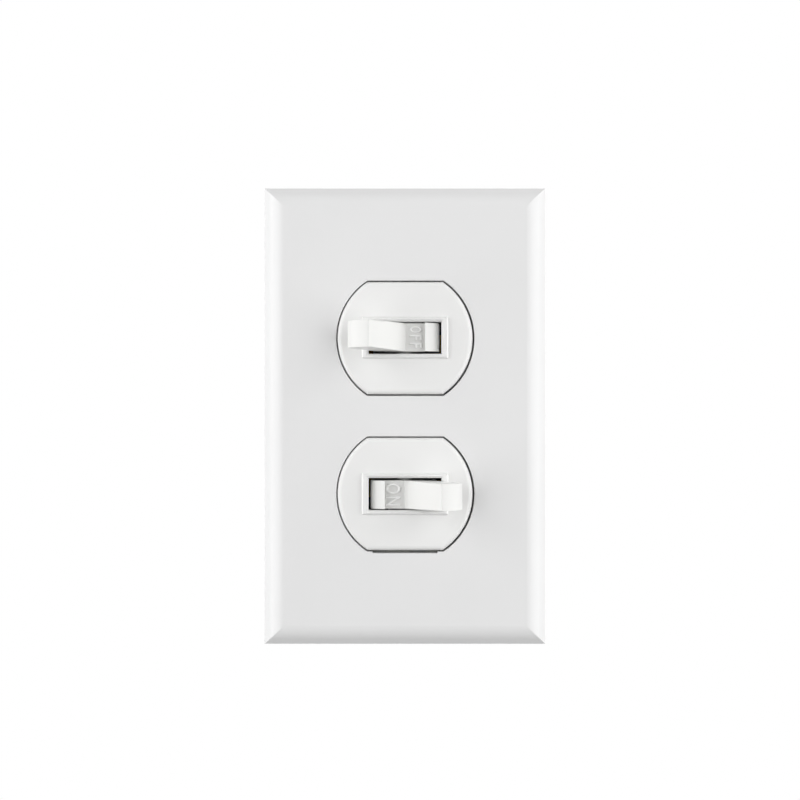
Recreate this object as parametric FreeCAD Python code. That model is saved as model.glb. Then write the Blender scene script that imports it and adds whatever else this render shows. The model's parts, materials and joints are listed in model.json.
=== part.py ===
import FreeCAD, Part
import math
import os

from FreeCAD import Vector

# Double switch plate: two sideways toggle switches in one duplex-style device, behind a one-gang
# plate with no visible screws. Millimetres. X is right, Z is up, +Y points into the wall, and the
# wall's surface is the plane y = 0, so everything that shows has a negative y.
# The origin is halfway between the two screws that hold the strap to the wall box.

# The two lobes of the device, which set the heights and widths of what lies round them
lobe_spacing = 38.86
lobe_between = 5.4
lobe_bulge = 2.87
lobe_flat = lobe_spacing / 2 - lobe_between
lobe_radius = lobe_flat + lobe_bulge

# Heights, from the middle outwards
housing_end = 2.54
strap_lip = 0.2
screw_to_housing = 5.65
strap_end = 11.05
hook_lip = 0.7
hook_clearance = 0.1
plate_margin_z = 3.9
housing_height = lobe_spacing + 2 * (lobe_flat + housing_end)
strap_middle_height = housing_height + 2 * strap_lip
box_screw_spacing = housing_height + 2 * screw_to_housing
strap_length = box_screw_spacing + 2 * strap_end
sub_height = strap_length + 2 * (hook_lip + hook_clearance)
plate_height = sub_height + 2 * plate_margin_z

# Widths
plate_width = 70.75
plate_margin_x = 3.9
housing_side = 2.1
strap_side = 1.0
housing_width = 2 * (lobe_radius + housing_side)
strap_middle_width = housing_width + 2 * strap_side
sub_width = plate_width - 2 * plate_margin_x

# Outer plate
plate_depth = 6.2
plate_wall = 1.8
bevel_angle = 48.0
bevel_straight = 1.4
bevel_round = 3.7
rim_round = 0.35
opening_gap = 0.33
opening_shift_x = 0.1
opening_shift_z = -0.05
opening_edge = 0.15
pry_notch_width = 16.2
pry_notch_depth = 0.35

# Inner plate that the outer plate clips over
sub_thickness = 1.6
sub_corner = 3.0
collar_wall = 1.4
collar_clearance = 0.05
relief_width = 17.8
relief_depth = 1.6
relief_start = 1.0
screw_head_room = 1.2
rivet_head_room = 0.4
hook_width = 8.0
hook_lip_thickness = 0.9
hook_lead = 0.28
hook_rise_z = plate_height / 2 - 21.7
hook_rise_x = plate_width / 2 - 12.6

# Steel strap
strap_thickness = 1.3
strap_end_width = 19.0
strap_corner = 1.5
tongue_corner = 5.7
ear_radius = 4.8
ear_neck = 4.3
ear_reach = strap_end_width / 2 + 5.1
box_slot_width = 4.0
box_slot_length = 6.6
window_clearance = 0.35
ground_tab_width = 9.0
ground_tab_length = 10.5
ground_tab_bend = 1.15
ground_tab_x = housing_width / 2 - 5.4

# Front moulding
lobe_proud = 0.3
lobe_wall = 1.7
lobe_face = 2.0
lobe_edge = 1.05
edge_steps = 3
flange_thickness = 2.5
frame_height = 0.9
frame_band_x = 1.7
frame_band_z = 1.2
frame_draft = 0.4
slot_chamfer = 0.5

# Toggles
throw_angle = 36.0
hinge_depth = 6.95
lever_thickness = 6.46
lever_length = 19.2
lever_crown = 0.63
lever_edge = 0.15
toggle_width = 7.06
toggle_shift = 0.18
tip_width = 6.5
slot_side_clearance = 0.48
slot_end_clearance = 0.4
label_sink = 1.6
label_width = 4.85
drum_gap = 0.45
land_slope = 27.0
shoulder_radius = 2.4
drum_back = 5.0
cheek_thickness = 1.2
pocket_floor = 2.0
trunnion_radius = 1.9
trunnion_length = 2.6
bearing_clearance = 0.05
bearing_wall = 2.5
bearing_width = 8.4

# Springs and contact arms
seat_depth = 3.6
seat_pin_radius = 0.6
seat_pin_length = 2.0
spring_diameter = 3.6
spring_wire = 0.5
spring_room = 0.45
pocket_room = 1.1
spring_turns = 5
turn_steps = 10
wire_sides = 6
pivot_depth = 20.85
arm_reach = 8.5
arm_throw = 9.0
arm_thickness = 0.9
arm_width = 5.0
bead_radius = 0.9
trough_wall = 0.8
shoulder_drop = 1.1
shoulder_thickness = 0.8
shoulder_half = 1.7
arm_pin_radius = 0.8
arm_pin_length = 1.6
contact_radius = 1.6
contact_height = 0.8
contact_reach = 4.2
contact_gap = 0.05
contact_lap = 0.35

# Rear housing
housing_floor = 2.8
housing_corner = 2.0
rear_chamfer = 0.8
cavity_width = housing_width - 14.0
terminal_recess = 2.25
terminal_recess_height = housing_height - 17.0
recess_front = 1.6
rivet_x = housing_width / 2 - 6.5
rivet_radius = 1.25
rivet_head_radius = 2.2
rivet_head_height = 0.8
rivet_clearance = 0.1

# Terminals and screws
terminal_thickness = 0.8
terminal_height = 12.0
terminal_front = 1.2
terminal_depth = 8.2
leg_width = 5.0
leg_clearance = 0.1
breakoff_height = 16.0
breakoff_width = 3.0
screw_radius = 1.7
thread_clearance = 0.05
screw_pocket = 0.35
terminal_screw_depth = 6.6
terminal_screw_length = 3.2
terminal_head_radius = 3.7
terminal_head_height = 2.0
ground_screw_depth = 5.4
box_screw_radius = 1.75
box_screw_neck = 1.45
box_screw_length = 26.0
box_head_radius = 3.5
box_head_height = 1.9
retainer_thickness = 0.5
retainer_size = 9.0
plate_screw_length = 10.0
plate_head_radius = 3.4
plate_head_height = 1.2

# How far a cut runs past its piece, how far joined blocks run into each other, and what counts as level
overrun = 1.0
overlap = 0.3
same = 0.01

# Places that follow from the sizes
face_y = -plate_depth
lobe_y = face_y - lobe_proud
slot_top_y = lobe_y - frame_height
hinge_y = slot_top_y + hinge_depth
pivot_y = hinge_y + pivot_depth
inner_face_y = face_y + plate_wall
strap_front_y = -strap_thickness
sub_front_y = strap_front_y - sub_thickness
trough_radius = bead_radius + bearing_clearance
floor_y = pivot_y + trough_radius + trough_wall
rear_y = floor_y + housing_floor
half_thickness = lever_thickness / 2
throw = math.radians(throw_angle)
drum_flat = hinge_depth - label_sink
slot_half_length = (
    (hinge_depth - slot_chamfer) * math.tan(throw)
    + half_thickness / math.cos(throw)
    + slot_end_clearance
)
slot_half_width = toggle_width / 2 + slot_side_clearance
switch_z = {"upper": lobe_spacing / 2, "lower": -lobe_spacing / 2}
rest_side = {"upper": -1, "lower": 1}
terminal_x = housing_width / 2 - terminal_recess
terminal_y = flange_thickness + recess_front
box_screw_z = box_screw_spacing / 2


def export(name, shape):
    """Write one named piece."""
    shape.exportStep("parts/" + name + ".step")


def box(x0, x1, y0, y1, z0, z1):
    """A block between two corners, given in any order."""
    low = Vector(min(x0, x1), min(y0, y1), min(z0, z1))
    return Part.makeBox(abs(x1 - x0), abs(y1 - y0), abs(z1 - z0), low)


def rod(radius, start, end):
    """A cylinder from one point to another."""
    return Part.makeCylinder(radius, (end - start).Length, start, end - start)


def face_of(edges):
    """A flat face inside a closed run of edges."""
    return Part.Face(Part.Wire(edges))


def line(a, b):
    """A straight edge."""
    return Part.LineSegment(a, b).toShape()


def arc(a, middle, b):
    """A round edge through three points."""
    return Part.Arc(a, middle, b).toShape()


def prism(points, direction):
    """A polygon pushed along a direction."""
    return Part.Face(Part.makePolygon(points + points[:1])).extrude(direction)


def fused(shapes):
    """One solid from pieces that touch or overlap."""
    whole = shapes[0].fuse(shapes[1:]) if len(shapes) > 1 else shapes[0]
    return whole.removeSplitter()


def rounded_block(half_x, half_z, y0, y1, radius):
    """A block about the Y axis whose four long edges are rounded."""
    block = box(-half_x, half_x, y0, y1, -half_z, half_z)
    long_edges = [e for e in block.Edges if abs(e.tangentAt(e.FirstParameter).y) > 0.9]
    return block.makeFillet(radius, long_edges)


def duplex_prism(radius, flat, y0, y1, x, z):
    """The duplex outline, a circle cut by a flat above and below, pushed along Y."""
    half = math.sqrt(radius**2 - flat**2)
    top_right = Vector(x + half, y0, z + flat)
    low_right = Vector(x + half, y0, z - flat)
    top_left = Vector(x - half, y0, z + flat)
    low_left = Vector(x - half, y0, z - flat)
    outline = [
        line(top_left, top_right),
        arc(top_right, Vector(x + radius, y0, z), low_right),
        line(low_right, low_left),
        arc(low_left, Vector(x - radius, y0, z), top_left),
    ]
    return face_of(outline).extrude(Vector(0, y1 - y0, 0))


def bevel_section(half, inset, place):
    """The plate's cross-section: an upright rim, a straight slope and a round that runs into the flat.

    inset moves the whole outline inwards by one wall. place turns (across, y) into a point.
    """
    slope = math.radians(bevel_angle)
    radius = bevel_round / math.sin(slope)
    centre_a = half - bevel_straight - bevel_round
    centre_y = face_y + radius
    inner = radius - inset
    start_a = centre_a + inner * math.sin(slope)
    start_y = centre_y - inner * math.cos(slope)
    middle_a = centre_a + inner * math.sin(slope / 2)
    middle_y = centre_y - inner * math.cos(slope / 2)
    rim_a = half - inset
    rim_y = start_y + (rim_a - start_a) * math.tan(slope)
    top_y = face_y + inset
    return face_of(
        [
            line(place(-rim_a, 0), place(-rim_a, rim_y)),
            line(place(-rim_a, rim_y), place(-start_a, start_y)),
            arc(place(-start_a, start_y), place(-middle_a, middle_y), place(-centre_a, top_y)),
            line(place(-centre_a, top_y), place(centre_a, top_y)),
            arc(place(centre_a, top_y), place(middle_a, middle_y), place(start_a, start_y)),
            line(place(start_a, start_y), place(rim_a, rim_y)),
            line(place(rim_a, rim_y), place(rim_a, 0)),
            line(place(rim_a, 0), place(-rim_a, 0)),
        ]
    )


def plate_body(inset):
    """The bevelled plate as a solid, from its section across and its section up, so the corners mitre."""
    half_x = plate_width / 2
    half_z = plate_height / 2
    across = bevel_section(half_x, inset, lambda a, y: Vector(a, y, -half_z))
    upright = bevel_section(half_z, inset, lambda a, y: Vector(-half_x, y, a))
    long_way = across.extrude(Vector(0, 0, plate_height))
    return long_way.common(upright.extrude(Vector(plate_width, 0, 0)))


def hook(edge, wall, reach_up):
    """A clip inside the outer plate: a post with a lip that catches behind the inner plate's edge.

    edge is where the inner plate ends and wall is the outer plate's inside. Both are measured outwards.
    """
    back_y = strap_front_y + hook_clearance
    post = box(edge + hook_clearance, wall, sub_front_y, back_y + hook_lip_thickness, 0, hook_width)
    lip_points = [
        Vector(edge + hook_clearance, back_y, 0),
        Vector(edge - hook_lip, back_y, 0),
        Vector(edge - hook_lead, back_y + hook_lip_thickness, 0),
        Vector(edge + hook_clearance, back_y + hook_lip_thickness, 0),
    ]
    clip = fused([post, prism(lip_points, Vector(0, 0, hook_width))])
    clip.translate(Vector(0, 0, reach_up - hook_width / 2))
    return clip


def plate_hooks():
    """Four clips on the long sides and two at each end."""
    hooks = []
    wall_x = plate_width / 2 - plate_wall / 2
    wall_z = plate_height / 2 - plate_wall / 2
    for z in (-hook_rise_z, hook_rise_z):
        right = hook(sub_width / 2, wall_x, z)
        left = right.mirror(Vector(0, 0, 0), Vector(1, 0, 0))
        hooks += [right, left]
    for x in (-hook_rise_x, hook_rise_x):
        top = hook(sub_height / 2, wall_z, x)
        top.rotate(Vector(0, 0, 0), Vector(0, 1, 0), -90)
        low = top.mirror(Vector(0, 0, 0), Vector(0, 0, 1))
        hooks += [top, low]
    return hooks


def opening(extra, y0, y1, z):
    """A duplex opening around one lobe, wider than the lobe all round by the opening gap and more."""
    grow = opening_gap + extra
    return duplex_prism(
        lobe_radius + grow, lobe_flat + grow, y0, y1, opening_shift_x, z + opening_shift_z
    )


def wall_plate():
    """The visible plate: a bevelled shell with two duplex openings, a pry notch and clips inside."""
    solid = plate_body(0)
    slope = math.radians(bevel_angle)
    rim_y = face_y + bevel_straight * math.tan(slope) + bevel_round * math.tan(slope / 2)
    rim_edges = []
    for edge in solid.Edges:
        box_y = edge.BoundBox
        if abs(box_y.YMin - rim_y) < same and abs(box_y.YMax - rim_y) < same:
            rim_edges.append(edge)
    solid = solid.makeFillet(rim_round, rim_edges)
    shell = solid.cut(plate_body(plate_wall))
    for z in switch_z.values():
        shell = shell.cut(opening(0, face_y - overrun, overrun, z))
    front_edges = []
    for edge in shell.Edges:
        centre = edge.CenterOfMass
        middle = abs(centre.x) < lobe_radius + overrun and abs(centre.z) < lobe_spacing
        if abs(centre.y - face_y) < same and middle:
            front_edges.append(edge)
    shell = shell.makeChamfer(opening_edge, front_edges)
    notch_z = switch_z["lower"] + opening_shift_z - lobe_flat - opening_gap
    half_notch = pry_notch_width / 2
    shell = shell.cut(
        box(-half_notch, half_notch, face_y - overrun, overrun, notch_z - pry_notch_depth, notch_z + overrun)
    )
    return fused([shell] + plate_hooks())


def sub_plate():
    """The inner plate: flat, with a collar round each opening and clearances for the heads under it."""
    slab = rounded_block(sub_width / 2, sub_height / 2, sub_front_y, strap_front_y, sub_corner)
    collar_top = inner_face_y + collar_clearance
    pieces = [slab]
    for z in switch_z.values():
        pieces.append(opening(collar_wall, collar_top, strap_front_y, z))
    plate = fused(pieces)
    half_relief = relief_width / 2
    for z in switch_z.values():
        plate = plate.cut(opening(0, collar_top - overrun, overrun, z))
        side = math.copysign(1, z)
        edge_z = z + side * (lobe_flat - relief_start)
        end_z = z + side * (lobe_flat + opening_gap + relief_depth)
        plate = plate.cut(box(-half_relief, half_relief, collar_top - overrun, overrun, edge_z, end_z))
        head_z = side * box_screw_z
        clear = box_head_radius + screw_head_room
        front = sub_front_y - overrun
        plate = plate.cut(box(-clear, clear, front, overrun, head_z - clear, head_z + clear))
    clear = rivet_head_radius + rivet_head_room
    for x in (-rivet_x, rivet_x):
        plate = plate.cut(box(x - clear, x + clear, collar_top - overrun, overrun, -clear, clear))
    return plate.cut(
        rod(screw_radius + thread_clearance, Vector(0, collar_top, 0), Vector(0, overrun, 0))
    )


def sub_plate_screw():
    """The flat-headed screw that holds the inner plate to the strap."""
    seat = Vector(0, sub_front_y, 0)
    head = rod(plate_head_radius, seat - Vector(0, plate_head_height, 0), seat)
    return fused([head, rod(screw_radius, seat, seat + Vector(0, plate_screw_length, 0))])


def mounting_strap():
    """The pressed steel strap: a middle with two windows, two slotted ends and break-off ears."""
    middle = rounded_block(
        strap_middle_width / 2, strap_middle_height / 2, strap_front_y, 0, strap_corner
    )
    tongue = rounded_block(strap_end_width / 2, strap_length / 2, strap_front_y, 0, tongue_corner)
    pieces = [middle, tongue]
    ear_z = strap_length / 2 - ear_radius
    for x in (-ear_reach, ear_reach):
        for z in (-ear_z, ear_z):
            pieces.append(rod(ear_radius, Vector(x, strap_front_y, z), Vector(x, 0, z)))
            pieces.append(box(0, x, strap_front_y, 0, z - ear_neck / 2, z + ear_neck / 2))
    low_z = -strap_middle_height / 2
    tab_x = (ground_tab_x - ground_tab_width / 2, ground_tab_x + ground_tab_width / 2)
    tab = box(tab_x[0], tab_x[1], strap_front_y, ground_tab_length, low_z - strap_thickness, low_z)
    bend = [
        edge for edge in tab.Edges
        if edge.BoundBox.YMax < strap_front_y + same and edge.BoundBox.ZMax < low_z - same
    ]
    pieces.append(tab.makeFillet(ground_tab_bend, bend))
    pieces.append(
        box(tab_x[0], tab_x[1], strap_front_y, 0, low_z - same, low_z + strap_corner + overlap)
    )
    strap = fused(pieces)
    for z in switch_z.values():
        radius = lobe_radius + window_clearance
        flat = lobe_flat + window_clearance
        strap = strap.cut(duplex_prism(radius, flat, strap_front_y - overrun, overrun, 0, z))
        strap = strap.cut(box_slot(math.copysign(box_screw_z, z)))
    for x in (-rivet_x, rivet_x):
        strap = strap.cut(rivet_hole(x))
    front = Vector(0, strap_front_y - overrun, 0)
    strap = strap.cut(rod(screw_radius + thread_clearance, front, Vector(0, overrun, 0)))
    hole = Vector(ground_tab_x, ground_screw_depth, low_z - strap_thickness - overrun)
    tab_depth = Vector(0, 0, strap_thickness + 2 * overrun)
    return strap.cut(rod(screw_radius + thread_clearance, hole, hole + tab_depth))


def box_slot(z):
    """The obround slot that a box screw passes through."""
    radius = box_slot_width / 2
    run = box_slot_length / 2 - radius
    ends = []
    for x in (-run, run):
        ends.append(rod(radius, Vector(x, strap_front_y - overrun, z), Vector(x, overrun, z)))
    return fused(ends + [box(-run, run, strap_front_y - overrun, overrun, z - radius, z + radius)])


def box_screws():
    """The two long screws into the wall box, with a thinner neck inside the strap and its retainer."""
    screws = []
    for z in (-box_screw_z, box_screw_z):
        seat = Vector(0, strap_front_y, z)
        inwards = Vector(0, 1, 0)
        head = rod(box_head_radius, seat - inwards * box_head_height, seat)
        neck_end = seat + inwards * (strap_thickness + retainer_thickness)
        neck = rod(box_screw_neck, seat, neck_end)
        shank = rod(box_screw_radius, neck_end, seat + inwards * box_screw_length)
        screws.append(fused([head, neck, shank]))
    return Part.makeCompound(screws)


def screw_retainers():
    """The two fibre squares behind the strap that keep the box screws from falling out."""
    squares = []
    half = retainer_size / 2
    for z in (-box_screw_z, box_screw_z):
        square = box(-half, half, 0, retainer_thickness, -half, half)
        bore = box_screw_neck + thread_clearance
        square = square.cut(rod(bore, Vector(0, 0, 0), Vector(0, retainer_thickness, 0)))
        square.translate(Vector(0, 0, z))
        squares.append(square)
    return Part.makeCompound(squares)


def slot_frame(z):
    """The raised bevelled frame round one toggle slot, standing on the lobe."""
    half_x = slot_half_length + frame_band_x
    half_z = slot_half_width + frame_band_z
    wires = []
    for y, shrink in ((lobe_y + overlap, 0), (lobe_y, 0), (slot_top_y, frame_draft)):
        a = half_x - shrink
        b = half_z - shrink
        corners = [Vector(-a, y, z - b), Vector(a, y, z - b), Vector(a, y, z + b), Vector(-a, y, z + b)]
        wires.append(Part.makePolygon(corners + corners[:1]))
    return Part.makeLoft(wires, True, True)


def toggle_slot(z):
    """The slot through the lobe's face, with a chamfered mouth."""
    through = box(
        -slot_half_length, slot_half_length, slot_top_y - overrun, lobe_y + lobe_face + overrun,
        z - slot_half_width, z + slot_half_width,
    )
    wires = []
    for y, grow in ((slot_top_y + slot_chamfer, 0), (slot_top_y - overrun, slot_chamfer + overrun)):
        a = slot_half_length + grow
        b = slot_half_width + grow
        corners = [Vector(-a, y, z - b), Vector(a, y, z - b), Vector(a, y, z + b), Vector(-a, y, z + b)]
        wires.append(Part.makePolygon(corners + corners[:1]))
    return through.fuse(Part.makeLoft(wires, True, True))


def bearing_blocks(y0, y1, half_width, z):
    """The two walls that carry a toggle's trunnions, one each side of its drum."""
    blocks = []
    for side in (-1, 1):
        near = z + side * slot_half_width
        blocks.append(box(-half_width, half_width, y0, y1, near, near + side * bearing_wall))
    return blocks


def bearing_bore(z):
    """The bore for both trunnions, long enough to groove both walls."""
    reach = slot_half_width + bearing_wall + overrun
    low = Vector(0, hinge_y, z - reach)
    return rod(trunnion_radius + bearing_clearance, low, Vector(0, hinge_y, z + reach))


def round_steps():
    """The lobe's rounded edge as short slopes: how far each point lies in and back from the corner."""
    points = []
    for n in range(edge_steps + 1):
        angle = math.pi / 2 * n / edge_steps
        points.append((lobe_edge * (1 - math.cos(angle)), lobe_edge * (1 - math.sin(angle))))
    return points


def lobe_block(z):
    """One solid lobe: a rounded disc cut by a rounded slab, so the two rounds mitre."""
    disc_side = [Vector(0, flange_thickness, z), Vector(lobe_radius, flange_thickness, z)]
    slab_side = [(lobe_flat, flange_thickness)]
    for inwards, back in round_steps():
        disc_side.append(Vector(lobe_radius - inwards, lobe_y + back, z))
        slab_side.append((lobe_flat - inwards, lobe_y + back))
    disc_side.append(Vector(0, lobe_y, z))
    disc = Part.Face(Part.makePolygon(disc_side + disc_side[:1]))
    disc = disc.revolve(Vector(0, 0, z), Vector(0, 1, 0), 360)
    slab = [Vector(-lobe_radius, y, z + a) for a, y in slab_side]
    slab += [Vector(-lobe_radius, y, z - a) for a, y in slab_side[::-1]]
    return disc.common(prism(slab, Vector(2 * lobe_radius, 0, 0)))


def front_moulding():
    """The moulding with two lobes: hollow cups on one flange, which stand out through the strap."""
    pieces = [
        rounded_block(housing_width / 2, housing_height / 2, 0, flange_thickness, housing_corner)
    ]
    for z in switch_z.values():
        pieces.append(lobe_block(z))
    body = fused(pieces)
    for z in switch_z.values():
        radius = lobe_radius - lobe_wall
        flat = lobe_flat - lobe_wall
        body = body.cut(duplex_prism(radius, flat, lobe_y + lobe_face, flange_thickness + overrun, 0, z))
    frames = []
    for z in switch_z.values():
        frames.append(slot_frame(z))
        frames += bearing_blocks(lobe_y + lobe_face - overlap, hinge_y, bearing_width / 2, z)
    body = fused([body] + frames)
    for z in switch_z.values():
        body = body.cut(toggle_slot(z))
        body = body.cut(bearing_bore(z))
    for x in (-rivet_x, rivet_x):
        body = body.cut(rivet_hole(x))
    return body.cut(centre_pocket())


def centre_pocket():
    """The square pocket that clears the tip of the inner plate's screw."""
    half = screw_radius + screw_pocket
    return box(-half, half, -overrun, sub_front_y + plate_screw_length + overrun, -half, half)


def rivet_hole(x):
    """A through hole for one of the two long rivets."""
    front = Vector(x, strap_front_y - overrun, 0)
    return rod(rivet_radius + rivet_clearance, front, Vector(x, rear_y + overrun, 0))


def rear_housing():
    """The deep moulded box behind the strap: a cavity and two bearing posts for each switch."""
    body = rounded_block(housing_width / 2, housing_height / 2, flange_thickness, rear_y, housing_corner)
    rear = [edge for edge in body.Edges if abs(edge.CenterOfMass.y - rear_y) < same]
    body = body.makeChamfer(rear_chamfer, rear)
    half_recess = terminal_recess_height / 2
    for side in (-1, 1):
        outer = side * (housing_width / 2 + overrun)
        body = body.cut(
            box(side * terminal_x, outer, terminal_y, rear_y + overrun, -half_recess, half_recess)
        )
    cavity_half_z = slot_half_width + bearing_wall + bearing_clearance
    posts = []
    for z in switch_z.values():
        half = cavity_width / 2
        body = body.cut(
            box(-half, half, flange_thickness - overrun, floor_y, z - cavity_half_z, z + cavity_half_z)
        )
        posts += bearing_blocks(hinge_y, floor_y + overlap, bearing_width / 2, z)
    body = fused([body] + posts)
    for z in switch_z.values():
        body = body.cut(bearing_bore(z))
        body = body.cut(common_leg_slot(z))
        body = body.cut(fixed_leg_slot(z))
        for side in (-1, 1):
            tip = side * (terminal_x - terminal_screw_length - screw_pocket)
            outer = side * (terminal_x + overrun)
            half = screw_radius + screw_pocket
            y = terminal_y_screw()
            body = body.cut(box(tip, outer, y - half, y + half, z - half, z + half))
    for x in (-rivet_x, rivet_x):
        body = body.cut(rivet_hole(x))
    body = body.cut(centre_pocket())
    half = screw_radius + screw_pocket
    low_z = -strap_middle_height / 2
    y = ground_screw_depth
    return body.cut(
        box(
            ground_tab_x - half, ground_tab_x + half, y - half, y + half,
            low_z, low_z + terminal_screw_length + screw_pocket,
        )
    )


def terminal_y_screw():
    """How far behind the wall's surface the terminal screws lie."""
    return terminal_y + terminal_screw_depth - terminal_front


def common_leg_slot(z):
    """The slot in the left wall for one leg of the common terminal."""
    gap = leg_clearance
    return box(
        -terminal_x - overrun, -cavity_width / 2 + overrun, floor_y - terminal_thickness - gap, floor_y,
        z - leg_width / 2 - gap, z + leg_width / 2 + gap,
    )


def fixed_leg_slot(z):
    """The slot in the right wall for the leg of one fixed terminal."""
    y = fixed_path()[2].y
    gap = leg_clearance
    half = terminal_thickness / 2 + gap
    return box(
        cavity_width / 2 - overrun, terminal_x + overrun, y - half, y + half,
        z - leg_width / 2 - gap, z + leg_width / 2 + gap,
    )


def assembly_rivets():
    """Two long rivets that clamp strap, front moulding and housing together."""
    rivets = []
    for x in (-rivet_x, rivet_x):
        front = Vector(x, strap_front_y, 0)
        back = Vector(x, rear_y, 0)
        head = rod(rivet_head_radius, front - Vector(0, rivet_head_height, 0), front)
        tail = rod(rivet_head_radius, back, back + Vector(0, rivet_head_height, 0))
        rivets.append(fused([head, rod(rivet_radius, front, back), tail]))
    return Part.makeCompound(rivets)


def drum_corners():
    """The drum's side about the hinge: label floor, rim, end of the sloped land, shoulder and side.

    It is worked out with the lever thrown and the label flat facing straight out, then turned back.
    """
    root = half_thickness / math.cos(throw) - drum_flat * math.tan(throw)
    reach = root + label_width
    slope = math.radians(land_slope)
    side = slot_half_length - drum_gap
    corner_y = -hinge_depth + (side - reach) * math.tan(slope)
    run = shoulder_radius * math.tan((math.pi / 2 - slope) / 2)
    middle = (slope + math.pi / 2) / 2
    bulge = Vector(math.sin(middle), -math.cos(middle), 0) * shoulder_radius
    points = [
        Vector(reach, -drum_flat, 0),
        Vector(reach, -hinge_depth, 0),
        Vector(side - run * math.cos(slope), corner_y - run * math.sin(slope), 0),
        Vector(side - shoulder_radius, corner_y + run, 0) + bulge,
        Vector(side, corner_y + run, 0),
    ]
    turn = FreeCAD.Rotation(Vector(0, 0, 1), throw_angle)
    return [turn.multVec(point) for point in points]


def toggle_profile():
    """The toggle seen from above with its lever straight out, about the hinge.

    A crowned lever, a sunk flat for a word on each side of its root, and a drum with rounded shoulders.
    """
    floor, rim, land_end, bulge, side = drum_corners()
    root_y = -(drum_flat - half_thickness * math.sin(throw)) / math.cos(throw)
    back_half = side.x - (drum_back - side.y) * math.tan(throw)
    right = [
        (line, [Vector(half_thickness, -lever_length, 0), Vector(half_thickness, root_y, 0)]),
        (line, [Vector(half_thickness, root_y, 0), floor]),
        (line, [floor, rim]),
        (line, [rim, land_end]),
        (arc, [land_end, bulge, side]),
        (line, [side, Vector(back_half, drum_back, 0)]),
    ]
    edges = []
    for kind, points in right:
        edges.append(kind(*points))
        edges.append(kind(*[Vector(-p.x, p.y, 0) for p in points]))
    tip = Vector(0, -lever_length - lever_crown, 0)
    tip_right = Vector(half_thickness, -lever_length, 0)
    tip_left = Vector(-half_thickness, -lever_length, 0)
    edges.append(arc(tip_left, tip, tip_right))
    edges.append(line(Vector(-back_half, drum_back, 0), Vector(back_half, drum_back, 0)))
    return Part.Face(Part.Wire(Part.__sortEdges__(edges)))


def spring_ends():
    """Where the spring's two ends lie about the hinge, with the lever thrown to the left."""
    seat = Vector(seat_depth * math.sin(throw), seat_depth * math.cos(throw), 0)
    lean = math.radians(arm_throw)
    nub = Vector(-arm_reach * math.sin(lean), pivot_depth - arm_reach * math.cos(lean), 0)
    return seat, nub


def spring_pocket():
    """The flared pocket in the drum's back, in which the spring swings from side to side."""
    seat, nub = spring_ends()
    along = nub - seat
    swing = math.atan2(-along.x, along.y) + throw
    radius = spring_diameter / 2
    side = radius / math.cos(swing) + (drum_back - seat_depth) * math.tan(swing) + spring_room
    floor_half = radius * math.cos(swing) + pocket_room
    depth = slot_half_width - slot_side_clearance - cheek_thickness
    points = [
        Vector(-floor_half, pocket_floor, -depth),
        Vector(floor_half, pocket_floor, -depth),
        Vector(side, drum_back, -depth),
        Vector(side, drum_back + overrun, -depth),
        Vector(-side, drum_back + overrun, -depth),
        Vector(-side, drum_back, -depth),
    ]
    return prism(points, Vector(0, 0, 2 * depth))


def toggle():
    """One toggle about its hinge, lever straight out: crowned lever, drum with label flats, trunnions."""
    half_drum = toggle_width / 2
    blank = toggle_profile().extrude(Vector(0, 0, toggle_width))
    blank.translate(Vector(0, 0, -half_drum))
    tip_y = -lever_length - lever_crown
    half_tip = tip_width / 2
    side_x = blank.BoundBox.XMin
    side_view = [
        Vector(side_x, drum_back, -half_drum),
        Vector(side_x, drum_back, half_drum),
        Vector(side_x, -drum_flat, half_drum),
        Vector(side_x, tip_y, half_tip),
        Vector(side_x, tip_y, -half_tip),
        Vector(side_x, -drum_flat, -half_drum),
    ]
    body = blank.common(prism(side_view, Vector(blank.BoundBox.XLength, 0, 0)))
    lever_edges = []
    for edge in body.Edges:
        straight = edge.Curve.TypeId == "Part::GeomLine"
        if straight and edge.BoundBox.YMin < -lever_length / 2:
            lever_edges.append(edge)
    body = body.makeChamfer(lever_edge, lever_edges)
    body = body.cut(spring_pocket())
    pieces = [body]
    for side in (-1, 1):
        start = Vector(0, 0, side * (half_drum - cheek_thickness))
        pieces.append(rod(trunnion_radius, start, Vector(0, 0, side * (half_drum + trunnion_length))))
    pin_top = pocket_floor + seat_pin_length
    pieces.append(rod(seat_pin_radius, Vector(0, pocket_floor - overlap, 0), Vector(0, pin_top, 0)))
    return fused(pieces)


def placed(shape, angle, name):
    """A piece drawn about the hinge, turned by an angle and put at its own switch."""
    copy = shape.copy()
    copy.rotate(Vector(0, 0, 0), Vector(0, 0, 1), angle)
    copy.translate(Vector(0, hinge_y, switch_z[name]))
    return copy


def toggle_spring(name):
    """The over-centre spring between the toggle's pocket and the arm, a coil of short straight lengths."""
    seat, nub = spring_ends()
    side = -rest_side[name]
    start = Vector(seat.x * side, seat.y, 0)
    end = Vector(nub.x * side, nub.y, 0)
    axis = end - start
    half_wire = spring_wire / 2
    coil_radius = spring_diameter / 2 - half_wire
    rise = axis.Length - spring_wire
    steps = spring_turns * turn_steps
    path = []
    for n in range(steps + 1):
        angle = 2 * math.pi * n / turn_steps
        height = half_wire + rise * n / steps
        path.append(Vector(coil_radius * math.cos(angle), coil_radius * math.sin(angle), height))
    corners = []
    for n in range(wire_sides):
        angle = 2 * math.pi * n / wire_sides
        offset = Vector(half_wire * math.cos(angle), 0, half_wire * math.sin(angle))
        corners.append(path[0] + offset)
    section = Part.makePolygon(corners + corners[:1])
    coil = Part.makePolygon(path).makePipeShell([section], True, False, 1)
    turn = FreeCAD.Rotation(Vector(0, 0, 1), axis)
    coil.Placement = FreeCAD.Placement(start + Vector(0, hinge_y, switch_z[name]), turn)
    return coil


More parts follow.
